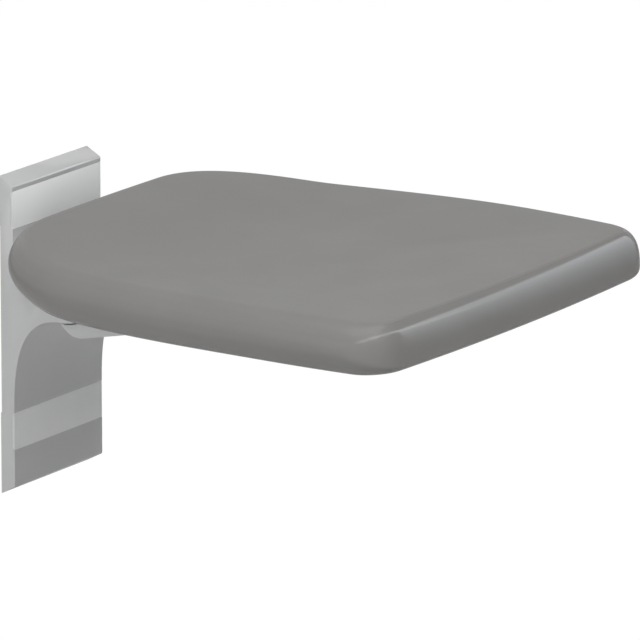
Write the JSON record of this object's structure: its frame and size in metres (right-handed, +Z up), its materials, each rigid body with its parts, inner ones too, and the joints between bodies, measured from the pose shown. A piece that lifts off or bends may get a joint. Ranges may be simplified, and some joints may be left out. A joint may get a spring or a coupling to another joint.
{
  "type": "fold down wall seat",
  "caption": "Fold down wall seat: a slim screwed wall console with a hinge nose, a tapered arm under the seat and a broad moulded seat with a rolled rim that folds up against the wall.",
  "frame": {"origin": "centre of the four wall screw holes, on the wall's surface", "axes": "+X to the right along the wall for someone who faces it, +Y into the wall, +Z up; the seat is down and points along -Y"},
  "size_m": [0.3938, 0.4485, 0.2545],
  "materials": {
    "console_coat": "satin powder coat on cast aluminium",
    "arm_coat": "satin powder coat on cast aluminium",
    "strip_plastic": "satin moulded",
    "seat_plastic": "satin moulded skin",
    "stainless": "turned stainless steel",
    "spring_steel": "hardened spring steel",
    "buffer_rubber": "moulded rubber",
    "brass": "knurled brass",
    "bearing_plastic": "filled bearing plastic",
    "brake_lining": "pressed lining"
  },
  "bodies": {
    "wall_console": {"console_casting": "console_coat", "upper_cover_strip": "strip_plastic", "lower_cover_strip": "strip_plastic", "strip_clips": "spring_steel", "hinge_shaft": "stainless", "shaft_end_screws": "stainless", "shaft_end_washers": "stainless", "shaft_lock_screws": "stainless", "thrust_washers": "stainless", "disc_springs": "spring_steel", "stop_pin": "stainless", "down_stop_buffers": "buffer_rubber"},
    "folding_seat": {"seat_arm": "arm_coat", "left_hub_bush": "bearing_plastic", "right_hub_bush": "bearing_plastic", "left_friction_disc": "brake_lining", "right_friction_disc": "brake_lining", "seat_shell": "seat_plastic", "threaded_inserts": "brass", "seat_screws": "stainless", "seat_screw_washers": "stainless", "seat_rest_pads": "buffer_rubber"}
  },
  "joints": [
    {"name": "seat_fold", "type": "hinge", "parent": "wall_console", "child": "folding_seat", "pos_m": [0, -0.058, 0.054], "axis": [-1, 0, 0], "range_deg": [0, 90]}
  ]
}
